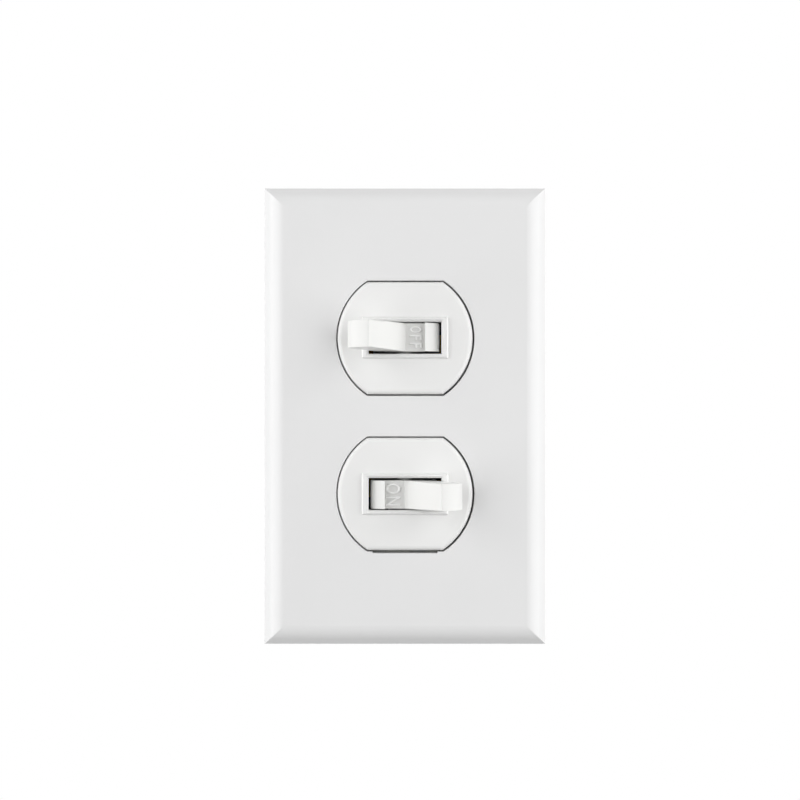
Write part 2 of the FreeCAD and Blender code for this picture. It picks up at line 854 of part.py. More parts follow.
def arm_point(u, v, lean):
    """A point of a contact arm about the hinge: u runs from its pivot to its nub, v to its right."""
    angle = math.radians(lean)
    forward = Vector(math.sin(angle), -math.cos(angle), 0)
    right = Vector(math.cos(angle), math.sin(angle), 0)
    return Vector(0, pivot_depth, 0) + forward * u + right * v


def arm_block(u0, u1, v0, v1, lean, width):
    """A block lying along a contact arm."""
    low = Vector(0, 0, -width / 2)
    corners = []
    for u, v in ((u0, v0), (u1, v0), (u1, v1), (u0, v1)):
        corners.append(arm_point(u, v, lean) + low)
    return prism(corners, Vector(0, 0, width))


def contact_arm(name):
    """The brass arm: a bead that rocks in the trough, a blade, a shoulder and a pin for the spring."""
    lean = arm_throw * rest_side[name]
    shoulder = arm_reach - shoulder_drop
    half = arm_thickness / 2
    bead_half = Vector(0, 0, arm_width / 2)
    pivot = arm_point(0, 0, lean)
    pin_start = arm_point(shoulder - overlap, 0, lean)
    pieces = [
        rod(bead_radius, pivot - bead_half, pivot + bead_half),
        arm_block(0, shoulder, -half, half, lean, arm_width),
        arm_block(shoulder - shoulder_thickness, shoulder, -shoulder_half, shoulder_half, lean, arm_width),
        rod(arm_pin_radius, pin_start, arm_point(shoulder + arm_pin_length, 0, lean)),
    ]
    return placed(fused(pieces), 0, name)


def contact_rivet(lean, v0, v1, name):
    """A silver contact button between two distances from an arm's middle."""
    button = rod(contact_radius, arm_point(contact_reach, v0, lean), arm_point(contact_reach, v1, lean))
    return placed(button, 0, name)


def moving_contact(name):
    """The silver button on the arm's right side."""
    lean = arm_throw * rest_side[name]
    half = arm_thickness / 2
    return contact_rivet(lean, half, half + contact_height, name)


def fixed_contact(name):
    """The silver button that the arm meets when its switch is on."""
    near = arm_thickness / 2 + contact_height + contact_gap
    return contact_rivet(arm_throw, near, near + contact_height, name)


def fixed_path():
    """The middle line of a fixed terminal's strip, from the contact out to the housing's right side."""
    v = arm_thickness / 2 + 2 * contact_height + contact_gap + terminal_thickness / 2
    lift = Vector(0, hinge_y, 0)
    low = arm_point(contact_reach - contact_radius - contact_lap, v, arm_throw) + lift
    high = arm_point(contact_reach + contact_radius + contact_lap, v, arm_throw) + lift
    outside = Vector(terminal_x + terminal_thickness / 2, high.y, 0)
    return [low, high, Vector(outside.x, high.y, 0), outside]


def bent_strip(points, width, z):
    """A strip of sheet that follows a line of points, with mitred bends."""
    half = terminal_thickness / 2
    up = Vector(0, 0, 1)
    ways = []
    for a, b in zip(points, points[1:]):
        ways.append((b - a).normalize())
    left = []
    right = []
    for n, point in enumerate(points):
        before = ways[max(n - 1, 0)]
        after = ways[min(n, len(ways) - 1)]
        middle = (before + after).normalize()
        across = up.cross(middle)
        stretch = half / across.dot(up.cross(after))
        left.append(point + across * stretch)
        right.append(point - across * stretch)
    outline = []
    for point in left + right[::-1]:
        outline.append(Vector(point.x, point.y, z - width / 2))
    return prism(outline, Vector(0, 0, width))


def screw_plate(side, z0, z1, depth):
    """The flat of a terminal against the housing's side."""
    inner = side * terminal_x
    front = terminal_y + terminal_front
    return box(inner, inner + side * terminal_thickness, front, front + depth, z0, z1)


def fixed_terminal(name):
    """A brass strip from the fixed contact to its screw plate on the right side."""
    z = switch_z[name]
    path = fixed_path()
    half = terminal_height / 2
    depth = path[2].y + terminal_thickness / 2 - terminal_y - terminal_front
    plate = screw_plate(1, z - half, z + half, depth)
    body = fused([bent_strip(path[:3], leg_width, z), plate])
    return body.cut(terminal_hole(1, z))


def terminal_hole(side, z):
    """The tapped hole for a terminal screw."""
    start = Vector(side * (terminal_x - overrun), terminal_y_screw(), z)
    depth = Vector(side * (terminal_thickness + 2 * overrun), 0, 0)
    return rod(screw_radius + thread_clearance, start, start + depth)


def common_terminal():
    """The brass strip on the left that feeds both arms, with a narrow break-off link in its middle."""
    half = terminal_height / 2
    link = breakoff_height / 2
    pieces = []
    for z in switch_z.values():
        front_plate = screw_plate(-1, z - half, z + half, floor_y - terminal_y - terminal_front)
        leg = box(-terminal_x, trough_radius + trough_wall, floor_y - terminal_thickness, floor_y,
                  z - leg_width / 2, z + leg_width / 2)
        outer = rod(trough_radius + trough_wall, Vector(0, pivot_y, z - leg_width / 2),
                    Vector(0, pivot_y, z + leg_width / 2))
        pieces += [front_plate, leg, outer]
    upper_end = switch_z["upper"] - half
    for side in (-1, 1):
        pieces.append(screw_plate(-1, side * link, side * upper_end, terminal_depth))
    front = terminal_y + terminal_front
    pieces.append(
        box(-terminal_x, -terminal_x - terminal_thickness, front, front + breakoff_width, -link, link)
    )
    body = fused(pieces)
    for z in switch_z.values():
        width = leg_width / 2 + overrun
        body = body.cut(rod(trough_radius, Vector(0, pivot_y, z - width), Vector(0, pivot_y, z + width)))
        open_side = trough_radius + trough_wall + overrun
        body = body.cut(box(-open_side, open_side, pivot_y - open_side, pivot_y, z - width, z + width))
        body = body.cut(terminal_hole(-1, z))
    return body


def binding_screw(seat, outwards, length):
    """A wide-headed terminal screw."""
    head = rod(terminal_head_radius, seat, seat + outwards * terminal_head_height)
    return fused([head, rod(screw_radius, seat, seat - outwards * length)])


def terminal_screws():
    """Four brass screws, one at each end of each switch's terminals."""
    screws = []
    length = terminal_thickness + terminal_screw_length
    for side in (-1, 1):
        for z in switch_z.values():
            seat = Vector(side * (terminal_x + terminal_thickness), terminal_y_screw(), z)
            screws.append(binding_screw(seat, Vector(side, 0, 0), length))
    return Part.makeCompound(screws)


def ground_screw():
    """The green screw in the strap's folded tab."""
    seat_z = -strap_middle_height / 2 - strap_thickness
    seat = Vector(ground_tab_x, ground_screw_depth, seat_z)
    length = strap_thickness + terminal_screw_length
    return binding_screw(seat, Vector(0, 0, -1), length)


os.makedirs("parts", exist_ok=True)

export("wall_plate", wall_plate())
export("sub_plate", sub_plate())
export("sub_plate_screw", sub_plate_screw())
export("mounting_strap", mounting_strap())
export("box_screws", box_screws())
export("screw_retainers", screw_retainers())
export("front_moulding", front_moulding())
export("rear_housing", rear_housing())
export("assembly_rivets", assembly_rivets())
export("common_terminal", common_terminal())
export("terminal_screws", terminal_screws())
export("ground_screw", ground_screw())

one_toggle = toggle()
for name, z in switch_z.items():
    lever = placed(one_toggle, rest_side[name] * throw_angle, name)
    lever.translate(Vector(0, 0, math.copysign(toggle_shift, z)))
    export("toggle_" + name, lever)
    export("toggle_spring_" + name, toggle_spring(name))
    export("contact_arm_" + name, contact_arm(name))
    export("moving_contact_" + name, moving_contact(name))
    export("fixed_contact_" + name, fixed_contact(name))
    export("fixed_terminal_" + name, fixed_terminal(name))
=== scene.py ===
"""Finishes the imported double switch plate: surfaces, raised words, screws, springs, studio and camera."""

import json
import math

import bmesh
import bpy
from bpy.props import FloatProperty, FloatVectorProperty, IntProperty, PointerProperty
from mathutils import Matrix, Vector


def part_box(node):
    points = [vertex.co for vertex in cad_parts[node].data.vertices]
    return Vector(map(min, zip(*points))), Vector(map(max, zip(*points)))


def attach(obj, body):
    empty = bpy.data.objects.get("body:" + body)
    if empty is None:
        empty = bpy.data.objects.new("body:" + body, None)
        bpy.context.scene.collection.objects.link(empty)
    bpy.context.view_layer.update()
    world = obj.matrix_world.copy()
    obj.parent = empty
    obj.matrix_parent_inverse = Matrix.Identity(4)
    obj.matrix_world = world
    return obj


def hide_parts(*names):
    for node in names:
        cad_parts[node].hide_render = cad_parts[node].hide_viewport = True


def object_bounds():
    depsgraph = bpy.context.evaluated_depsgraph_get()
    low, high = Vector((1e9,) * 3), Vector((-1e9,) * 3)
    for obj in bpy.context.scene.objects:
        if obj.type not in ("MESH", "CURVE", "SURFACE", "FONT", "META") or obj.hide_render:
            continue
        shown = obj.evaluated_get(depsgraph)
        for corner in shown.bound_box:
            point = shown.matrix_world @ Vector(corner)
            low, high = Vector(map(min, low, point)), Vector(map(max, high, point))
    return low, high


bl_info = {
    "name": "Double switch plate",
    "version": (1, 0, 0),
    "blender": (4, 5, 0),
    "location": "3D View > Sidebar > Switch plate",
    "description": "Gives a packed double switch plate its finishes, words, screws, springs and studio",
    "category": "Object",
}

MM = 0.001

FRONT = (0, -1, 0)
BACK = (0, 1, 0)
RIGHT = (1, 0, 0)
UP = (0, 0, 1)
DOWN = (0, 0, -1)

# Faces that meet at more than this angle keep a crisp edge.
CRISP_ANGLE = math.radians(35)
# How many samples, points or rings stand for a rounded shape.
EDGE_SAMPLES = 6
LETTER_STEPS = 6
ROUND_STEPS = 2
TURNED_SIDES = 40
THREAD_STEPS = 8
COIL_STEPS = 20

# Noise levels between which one tone gives way to the other, and roughness runs from low to high.
TONE_LEVELS = (0.35, 0.65)
ROUGHNESS_LEVELS = (0.3, 0.7)
# Distance from a speck's middle, in cells, at which the phenolic has its own dark tone again.
SPECK_EDGE = 0.28

# Round at the edge of a screw's head and deepest driver slot, in head heights; the slot's cut, in radii.
HEAD_EDGE = 0.16
SLOT_LIMIT = 0.6
SLOT_REACH = 2.4
# Radius of a screw's tip as a share of its shank's.
TIP_SHARE = 0.7
# Share of a spring's turns that lies flat at each end.
DEAD_SHARE = 0.12

# Studio, in metres and watts. The left soft wall mirrors the right one.
SURROUND_LIGHT = 0.22
FLOOR_GREY = 0.22
FLOOR_REACH = 3.0
FLOOR_DROP = 0.3
WALL_PLACE = (0.5, -0.45, 0.07)
WALL_AIM = (0, -0.45, 0.03)
WALL_SIZE = (1.0, 0.8)
WALL_POWER = 6.0
BACK_PLACE = (0.2, 0.8, 0.3)
BACK_SIZE = (1.5, 1.5)
BACK_POWER = 5.0

# Camera: its place in metres, its lens in millimetres, and how far its picture is shifted, in pixels.
CAMERA_PLACE = (0, -0.273, -0.0035)
CAMERA_LENS = 48.2
SENSOR_WIDTH = 36.0
NEAR_CLIP = 0.01
PICTURE_SIDE = 800
SHIFT_RIGHT = -5
SHIFT_UP = 30

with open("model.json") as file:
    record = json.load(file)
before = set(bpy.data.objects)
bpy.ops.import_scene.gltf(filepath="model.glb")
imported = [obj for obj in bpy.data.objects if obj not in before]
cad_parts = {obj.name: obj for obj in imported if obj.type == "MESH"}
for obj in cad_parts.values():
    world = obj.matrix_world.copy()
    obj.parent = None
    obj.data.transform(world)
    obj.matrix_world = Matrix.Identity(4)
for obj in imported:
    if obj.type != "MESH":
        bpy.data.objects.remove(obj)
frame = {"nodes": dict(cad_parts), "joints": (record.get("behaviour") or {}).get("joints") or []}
CAD_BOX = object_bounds()
JOINTS = {joint["name"]: joint for joint in frame["joints"]}
SWITCHES = ("upper", "lower")


def linear(code):
    """An sRGB hex colour as linear red, green and blue."""
    values = []
    for n in (0, 2, 4):
        part = int(code[n:n + 2], 16) / 255
        values.append(part / 12.92 if part <= 0.04045 else ((part + 0.055) / 1.055) ** 2.4)
    return tuple(values)


def colour(code, name, description):
    """A colour that a user may change, with its default as an sRGB hex value."""
    return FloatVectorProperty(
        name=name, description=description, subtype="COLOR", size=3, min=0, max=1, default=linear(code)
    )


def length(size_mm, name, description):
    """A length that a user may change, with its default in millimetres."""
    return FloatProperty(
        name=name, description=description, subtype="DISTANCE", unit="LENGTH", min=0, precision=5,
        default=size_mm * MM,
    )


class SwitchPlateSizes(bpy.types.PropertyGroup):
    """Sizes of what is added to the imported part."""

    edge_round: length(0.15, "Edge round", "How far moulded edges are softened")
    on_height: length(3.7, "ON height", "Height of the capitals in ON")
    off_height: length(3.1, "OFF height", "Height of the capitals in OFF")
    wide_letter: length(2.3, "Wide letter", "Width of the N in ON; the O is a little wider")
    narrow_letter: length(1.32, "Narrow letter", "Width of each F in OFF; the O is a little wider")
    round_letter: FloatProperty(
        name="Round letter", description="Width of an O, in widths of its word's other letters", min=0,
        default=1.15,
    )
    letter_space: length(0.58, "Letter space", "Clear distance between two letters")
    letter_relief: length(0.4, "Letter relief", "How far the letters stand up from the toggle's flats")
    letter_stroke: length(0.1, "Letter stroke", "How much each stroke is thickened")
    label_rise: length(5.35, "Label rise", "From the toggle's hinge to the flat that carries a word")
    on_offset: length(3.0, "ON offset", "From the hinge sideways to the middle of ON")
    off_offset: length(2.68, "OFF offset", "From the hinge sideways to the middle of OFF")
    thread_pitch: length(0.8, "Thread pitch", "Distance between thread crests on the screws")
    thread_depth: length(0.45, "Thread depth", "Crest to root of the screws' threads")
    slot_width: length(1.0, "Slot width", "Width of the driver slots")
    slot_depth: length(0.9, "Slot depth", "Depth of the driver slots")
    screw_tip: length(0.3, "Screw tip", "Length of the chamfer at each screw's tip")
    box_screw_radius: length(1.75, "Box screw radius", "Crests of the box screws' threads")
    box_screw_neck: length(1.45, "Box screw neck", "Radius of the box screws inside their retainers")
    small_screw_radius: length(1.7, "Small screw radius", "Crests of the other screws' threads")
    inner_plate_web: length(1.6, "Inner plate web", "Thickness of the inner plate under its screw's head")
    binding_depth: length(4.0, "Binding depth", "From the binding screws' heads to their tips")
    ground_head: length(2.0, "Ground head", "Height of the ground screw's head")
    spring_radius: length(1.55, "Spring radius", "Middle of the wire from the spring's axis")
    spring_wire: length(0.25, "Spring wire", "Radius of the spring's wire")
    spring_seat: length(3.6, "Spring seat", "From the toggle's hinge to the seat of its spring")
    spring_turns: IntProperty(name="Spring turns", description="Turns of each spring", min=1, default=6)


class SwitchPlateColours(bpy.types.PropertyGroup):
    """Colours of the part's surfaces."""

    plate: colour("E6E6E6", "Plate", "Moulded white of the outer plate")
    device: colour("ECECEB", "Device", "Moulded white of the lobes")
    toggle: colour("E6E6E4", "Toggles", "Moulded white of the levers")
    # Painted highlight: the words share the toggles' moulded white, and this lighter tone stands for the
    # light they catch above the shaded flats.
    letter: colour("FBFBFA", "Letters", "Brighter white of the raised words")
    inner_plate: colour("E2E1DE", "Inner plate", "Moulded off-white of the inner plate")
    housing: colour("26262A", "Housing", "Dark moulded housing")
    zinc: colour("BCBFC0", "Zinc", "Plated steel of the strap and screws")
    brass: colour("D5AE5F", "Brass", "Terminals, arms and binding screws")
    silver: colour("E3E1DA", "Silver", "Contact buttons")
    wire: colour("9C9B98", "Spring wire", "Drawn steel wire")
    green: colour("1F7A45", "Ground green", "Dyed finish of the ground screw")
    fibre: colour("7C3526", "Fibre", "Vulcanised fibre of the screw retainers")


def sizes():
    """The sizes as they stand in this scene."""
    return bpy.context.scene.switch_plate_sizes


def colours():
    """The colours as they stand in this scene."""
    return bpy.context.scene.switch_plate_colours


def grains(size_mm):
    """The texture scale at which one grain measures the given millimetres."""
    return 1 / (size_mm * MM)


def add(tree, kind, settings=None, links=None):
    """Adds a node: settings are its properties or the values of its sockets, links feed sockets."""
    node = tree.nodes.new(kind)
    for key, value in (settings or {}).items():
        if isinstance(key, str) and hasattr(node, key):
            setattr(node, key, value)
        else:
            node.inputs[key].default_value = value
    for key, source in (links or {}).items():
        tree.links.new(source, node.inputs[key])
    return node


def new_surface(name, settings):
    """A principled material with its constants set: the material, its tree, its shader and coordinates."""
    material = bpy.data.materials.new(name)
    material.use_nodes = True
    tree = material.node_tree
    tree.nodes.clear()
    shader = add(tree, "ShaderNodeBsdfPrincipled", settings)
    add(tree, "ShaderNodeOutputMaterial", links={"Surface": shader.outputs["BSDF"]})
    coords = add(tree, "ShaderNodeTexCoord")
    return material, tree, shader, coords.outputs["Object"]


def mottle(tree, shader, coords, base, other, size_mm):
    """Feeds the base colour with two close tones in soft patches of a given size."""
    patches = add(tree, "ShaderNodeTexNoise", {"Scale": grains(size_mm), "Detail": 3.0}, {"Vector": coords})
    tones = add(tree, "ShaderNodeValToRGB", links={"Fac": patches.outputs["Fac"]})
    for element, level, tone in zip(tones.color_ramp.elements, TONE_LEVELS, (other, base)):
        element.position = level
        element.color = (*tone, 1)
    tree.links.new(tones.outputs["Color"], shader.inputs["Base Color"])


def vary_roughness(tree, shader, coords, low, high, size_mm):
    """Lets the roughness drift between two values in patches of a given size."""
    patches = add(tree, "ShaderNodeTexNoise", {"Scale": grains(size_mm), "Detail": 2.0}, {"Vector": coords})
    first, last = ROUGHNESS_LEVELS
    drift = add(
        tree, "ShaderNodeMapRange", {"From Min": first, "From Max": last, "To Min": low, "To Max": high},
        {"Value": patches.outputs["Fac"]},
    )
    tree.links.new(drift.outputs["Result"], shader.inputs["Roughness"])


def relief(tree, shader, height, depth_mm, edge=0.0):
    """Raises a height pattern by a real depth, over edges that are softened by a small round."""
    links = {"Height": height}
    if edge:
        rounded = add(tree, "ShaderNodeBevel", {"samples": EDGE_SAMPLES, "Radius": edge})
        links["Normal"] = rounded.outputs["Normal"]
    bump = add(tree, "ShaderNodeBump", {"Distance": depth_mm * MM}, links)
    tree.links.new(bump.outputs["Normal"], shader.inputs["Normal"])


def tint(tone, red, green, blue):
    """The same colour with its red, green and blue each scaled by a share."""
    return tuple(min(1.0, value * share) for value, share in zip(tone, (red, green, blue)))


def shade(tone, share):
    """The same colour, lighter or darker by a share."""
    return tint(tone, share, share, share)


def moulded_white(name, tone, roughness, peel_mm=0.9, peel_depth_mm=0.004):
    """Urea moulded in a polished tool: dense white, semi-gloss, with the faint swell of a moulded skin."""
    material, tree, shader, coords = new_surface(name, {"IOR": 1.54})
    mottle(tree, shader, coords, tone, shade(tone, 0.985), size_mm=22)
    vary_roughness(tree, shader, coords, roughness - 0.03, roughness + 0.04, size_mm=5)
    peel = add(tree, "ShaderNodeTexNoise", {"Scale": grains(peel_mm), "Detail": 2.0}, {"Vector": coords})
    relief(tree, shader, peel.outputs["Fac"], peel_depth_mm, edge=sizes().edge_round)
    return material


def moulded_phenolic(tone):
    """Phenolic pressed with wood flour: near-black, matte, with pale specks, 0.4 mm wide so they show."""
    material, tree, shader, coords = new_surface("phenolic moulded dark", {"IOR": 1.6})
    specks = add(tree, "ShaderNodeTexVoronoi", {"Scale": grains(0.4)}, {"Vector": coords})
    tones = add(tree, "ShaderNodeValToRGB", links={"Fac": specks.outputs["Distance"]})
    tones.color_ramp.elements[0].color = (*shade(tone, 2.2), 1)
    tones.color_ramp.elements[1].position = SPECK_EDGE
    tones.color_ramp.elements[1].color = (*tone, 1)
    tree.links.new(tones.outputs["Color"], shader.inputs["Base Color"])
    vary_roughness(tree, shader, coords, low=0.46, high=0.54, size_mm=3)
    grain = add(tree, "ShaderNodeTexNoise", {"Scale": grains(0.35), "Detail": 4.0}, {"Vector": coords})
    relief(tree, shader, grain.outputs["Fac"], depth_mm=0.012, edge=sizes().edge_round)
    return material


def zinc_plated(name, tone, stretch):
    """Zinc plate on pressed steel: bright grey with rolling lines and a faint blue and straw bloom."""
    material, tree, shader, coords = new_surface(name, {"Metallic": 1.0})
    mottle(tree, shader, coords, tone, tint(tone, 1.02, 0.99, 0.9), size_mm=7)
    lines = add(tree, "ShaderNodeMapping", {"Scale": stretch}, {"Vector": coords})
    rolled = add(
        tree, "ShaderNodeTexNoise", {"Scale": grains(0.25), "Detail": 3.0},
        {"Vector": lines.outputs["Vector"]},
    )
    spread = add(
        tree, "ShaderNodeMapRange", {"To Min": 0.28, "To Max": 0.5}, {"Value": rolled.outputs["Fac"]}
    )
    tree.links.new(spread.outputs["Result"], shader.inputs["Roughness"])
    relief(tree, shader, rolled.outputs["Fac"], depth_mm=0.006, edge=sizes().edge_round / 2)
    return material


def brass(name, tone, roughness, line_mm):
    """Brass, stamped or turned: warm yellow and satin, with fine tool lines and patches of tarnish."""
    material, tree, shader, coords = new_surface(name, {"Metallic": 1.0})
    mottle(tree, shader, coords, tone, tint(tone, 0.72, 0.62, 0.5), size_mm=4)
    lines = add(tree, "ShaderNodeMapping", {"Scale": (1, 1, 0.08)}, {"Vector": coords})
    tool = add(
        tree, "ShaderNodeTexNoise", {"Scale": grains(line_mm), "Detail": 3.0},
        {"Vector": lines.outputs["Vector"]},
    )
    spread = add(
        tree, "ShaderNodeMapRange", {"To Min": roughness - 0.05, "To Max": roughness + 0.12},
        {"Value": tool.outputs["Fac"]},
    )
    tree.links.new(spread.outputs["Result"], shader.inputs["Roughness"])
    relief(tree, shader, tool.outputs["Fac"], depth_mm=0.005, edge=sizes().edge_round / 2)
    return material


def silver_alloy(tone):
    """Silver alloy cold-headed into a button: soft white metal with a satin, slightly pitted face."""
    material, tree, shader, coords = new_surface("silver alloy cold-headed", {"Metallic": 1.0})
    mottle(tree, shader, coords, tone, tint(tone, 0.9, 0.87, 0.8), size_mm=1.2)
    vary_roughness(tree, shader, coords, low=0.28, high=0.42, size_mm=0.8)
    pits = add(tree, "ShaderNodeTexNoise", {"Scale": grains(0.2), "Detail": 4.0}, {"Vector": coords})
    relief(tree, shader, pits.outputs["Fac"], depth_mm=0.01)
    return material


def drawn_wire(tone):
    """Spring steel drawn through a die: grey, with a low oily sheen and fine die scratches."""
    material, tree, shader, coords = new_surface("spring steel drawn", {"Metallic": 1.0})
    mottle(tree, shader, coords, tone, shade(tone, 0.7), size_mm=0.9)
    vary_roughness(tree, shader, coords, low=0.28, high=0.4, size_mm=0.6)
    scratches = add(tree, "ShaderNodeTexNoise", {"Scale": grains(0.12), "Detail": 3.0}, {"Vector": coords})
    relief(tree, shader, scratches.outputs["Fac"], depth_mm=0.004)
    return material


def dyed_zinc(tone):
    """Zinc plate dyed green: a lively metallic green under a thin clear film, worn paler in patches."""
    material, tree, shader, coords = new_surface(
        "zinc plate dyed green", {"Metallic": 0.55, "Coat Weight": 0.35, "Coat Roughness": 0.2}
    )
    mottle(tree, shader, coords, tone, tint(tone, 1.6, 1.3, 1.4), size_mm=1.5)
    vary_roughness(tree, shader, coords, low=0.3, high=0.5, size_mm=1.0)
    skin = add(tree, "ShaderNodeTexNoise", {"Scale": grains(0.3), "Detail": 3.0}, {"Vector": coords})
    relief(tree, shader, skin.outputs["Fac"], depth_mm=0.006, edge=sizes().edge_round / 2)
    return material


def vulcanised_fibre(tone):
    """Vulcanised fibre punched from sheet: red-brown and dull, with matted fibres that run one way."""
    material, tree, shader, coords = new_surface("vulcanised fibre punched", {"IOR": 1.5})
    mottle(tree, shader, coords, tone, shade(tone, 0.7), size_mm=1.1)
    vary_roughness(tree, shader, coords, low=0.7, high=0.85, size_mm=1.0)
    across = add(tree, "ShaderNodeMapping", {"Scale": (0.2, 1, 1)}, {"Vector": coords})
    mat = add(
        tree, "ShaderNodeTexNoise", {"Scale": grains(0.2), "Detail": 5.0},
        {"Vector": across.outputs["Vector"]},
    )
    relief(tree, shader, mat.outputs["Fac"], depth_mm=0.02)
    return material


def dress(material, *names):
    """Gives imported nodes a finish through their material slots."""
    for name in names:
        for slot in frame["nodes"][name].material_slots:
            slot.material = material


def piece_from(shape, name, material, body):
    """A new piece from a mesh in the part's own frame, riding on its body."""
    bmesh.ops.recalc_face_normals(shape, faces=shape.faces)
    mesh = bpy.data.meshes.new(name)
    shape.to_mesh(mesh)
    shape.free()
    mesh.materials.append(material)
    return placed_piece(mesh, name, body)


def placed_piece(mesh, name, body):
    """Links a finished mesh as a piece on one body, with flat faces kept crisp."""
    piece = bpy.data.objects.new(name, mesh)
    bpy.context.scene.collection.objects.link(piece)
    mesh.shade_smooth()
    mesh.set_sharp_from_angle(angle=CRISP_ANGLE)
    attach(piece, body)
    return piece


def facing(point, outwards, across):
    """The placement whose Z points outwards and whose X points across, at a point."""
    z = Vector(outwards).normalized()
    x = Vector(across).normalized()
    return Matrix.Translation(point) @ Matrix((x, z.cross(x), z)).transposed().to_4x4()


def lathe(shape, rings, place):
    """Adds a closed turned body: each ring is a height and the radius that it has at every angle."""
    rows = []
    for height, radius in rings:
        row = []
        for n in range(TURNED_SIDES):
            angle = math.tau * n / TURNED_SIDES
            reach = radius(angle) if callable(radius) else radius
            point = Vector((reach * math.cos(angle), reach * math.sin(angle), height))
            row.append(shape.verts.new(place @ point))
        rows.append(row)
    for low, high in zip(rows, rows[1:]):
        for n in range(TURNED_SIDES):
            shape.faces.new((low[n - 1], low[n], high[n], high[n - 1]))
    shape.faces.new(rows[0])
    shape.faces.new(rows[-1][::-1])


def thread_rings(radius, start, end):
    """Rings of a screw thread between two heights, with its crests on a radius and a fade at both ends."""
    pitch = sizes().thread_pitch
    depth = sizes().thread_depth
    steps = int(abs(end - start) / pitch * THREAD_STEPS)
    rings = []
    for n in range(steps + 1):
        height = start + (end - start) * n / steps
        fade = min(1, n / THREAD_STEPS, (steps - n) / THREAD_STEPS)

        def reach(angle, height=height, fade=fade):
            phase = (height / pitch - angle / math.tau) % 1
            return radius - depth * fade * (1 - abs(2 * phase - 1))

        rings.append((height, reach))
    return rings


def screw(shape, place, head, shank, neck=None):
    """Adds one slotted screw from the radius and length of its head, its shank and a plain neck, if any."""
    head_radius, head_height = head
    shank_radius, shank_length = shank
    neck_radius, neck_length = neck or (shank_radius, MM)
    soft = head_height * HEAD_EDGE
    floor = head_height - min(sizes().slot_depth, head_height * SLOT_LIMIT)
    rings = [(-shank_length, shank_radius * TIP_SHARE)]
    rings += thread_rings(shank_radius, -shank_length + sizes().screw_tip, -neck_length)
    rings += [(-neck_length, neck_radius), (0, neck_radius), (0, head_radius - soft), (soft, head_radius)]
    rings += [(head_height - soft, head_radius), (head_height, head_radius - soft)]
    whole = bmesh.new()
    lathe(whole, rings, Matrix.Identity(4))
    cutter = bmesh.new()
    bmesh.ops.create_cube(cutter, size=1)
    reach = head_radius * SLOT_REACH
    bmesh.ops.scale(cutter, vec=(reach, sizes().slot_width, head_height), verts=cutter.verts)
    bmesh.ops.translate(cutter, vec=(0, 0, floor + head_height / 2), verts=cutter.verts)
    mesh = cut_mesh(whole, cutter)
    mesh.transform(place)
    shape.from_mesh(mesh)
    bpy.data.meshes.remove(mesh)


def cut_mesh(whole, cutter):
    """One mesh with another cut out of it."""
    made = []
    for name, shape in (("cut body", whole), ("cut tool", cutter)):
        bmesh.ops.recalc_face_normals(shape, faces=shape.faces)
        mesh = bpy.data.meshes.new(name)
        shape.to_mesh(mesh)
        shape.free()
        piece = bpy.data.objects.new(name, mesh)
        bpy.context.scene.collection.objects.link(piece)
        made.append(piece)
    body, tool = made
    cut = body.modifiers.new("slot", "BOOLEAN")
    cut.operation = "DIFFERENCE"
    cut.solver = "EXACT"
    cut.object = tool
    graph = bpy.context.evaluated_depsgraph_get()
    graph.update()
    result = bpy.data.meshes.new_from_object(body.evaluated_get(graph))
    for piece in made:
        mesh = piece.data
        bpy.data.objects.remove(piece)
        bpy.data.meshes.remove(mesh)
    return result


def box_screws(material):
    """The two long screws, each with a plainer neck inside its retainer."""
    low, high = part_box("box_screws")
    strap_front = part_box("mounting_strap")[0].y
    retainer_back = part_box("screw_retainers")[1].y
    head = (high.x, strap_front - low.y)
    shank = (sizes().box_screw_radius, high.y - strap_front)
    neck = (sizes().box_screw_neck, retainer_back - strap_front)
    middle = high.z - high.x
    shape = bmesh.new()
    for z in (-middle, middle):
        screw(shape, facing((0, strap_front, z), FRONT, RIGHT), head, shank, neck)
    piece = piece_from(shape, "threaded_box_screws", material, "device")
    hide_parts("box_screws")


def plate_screw(material):
    """The screw that holds the inner plate to the strap."""
    low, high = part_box("sub_plate_screw")
    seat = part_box("sub_plate")[1].y - sizes().inner_plate_web
    head = (high.x, seat - low.y)
    shank = (sizes().small_screw_radius, high.y - seat)
    shape = bmesh.new()
    screw(shape, facing((0, seat, 0), FRONT, RIGHT), head, shank)
    piece = piece_from(shape, "slotted_plate_screw", material, "device")
    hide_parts("sub_plate_screw")


def binding_screws(material):
    """The four screws at the terminal strips, two on each side."""
    low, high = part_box("terminal_screws")
    radius = (high.y - low.y) / 2
    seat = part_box("fixed_terminal_upper")[1].x
    head = (radius, high.x - seat)
    shank = (sizes().small_screw_radius, sizes().binding_depth)
    middle = high.z - radius
    shape = bmesh.new()
    for side in (-1, 1):
        for z in (-middle, middle):
            spot = (side * seat, (low.y + high.y) / 2, z)
            screw(shape, facing(spot, (side, 0, 0), BACK), head, shank)
    piece = piece_from(shape, "binding_screws", material, "device")
    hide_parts("terminal_screws")


def ground_screw(material):
    """The screw in the strap's folded tab, with its head below the tab."""
    low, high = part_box("ground_screw")
    radius = (high.x - low.x) / 2
    seat = low.z + sizes().ground_head
    spot = (low.x + radius, low.y + radius, seat)
    shank = (sizes().small_screw_radius, high.z - seat)
    shape = bmesh.new()
    screw(shape, facing(spot, DOWN, RIGHT), (radius, sizes().ground_head), shank)
    piece = piece_from(shape, "ground_binding_screw", material, "device")
    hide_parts("ground_screw")


def hinge_of(name):
    """A switch's hinge point, and the angle from its rest position to the other end of its travel."""
    joint = JOINTS["toggle_" + name + "_hinge"]
    travel = max(joint["range_deg"], key=abs)
    return Vector(joint["pos_m"]), math.radians(travel)


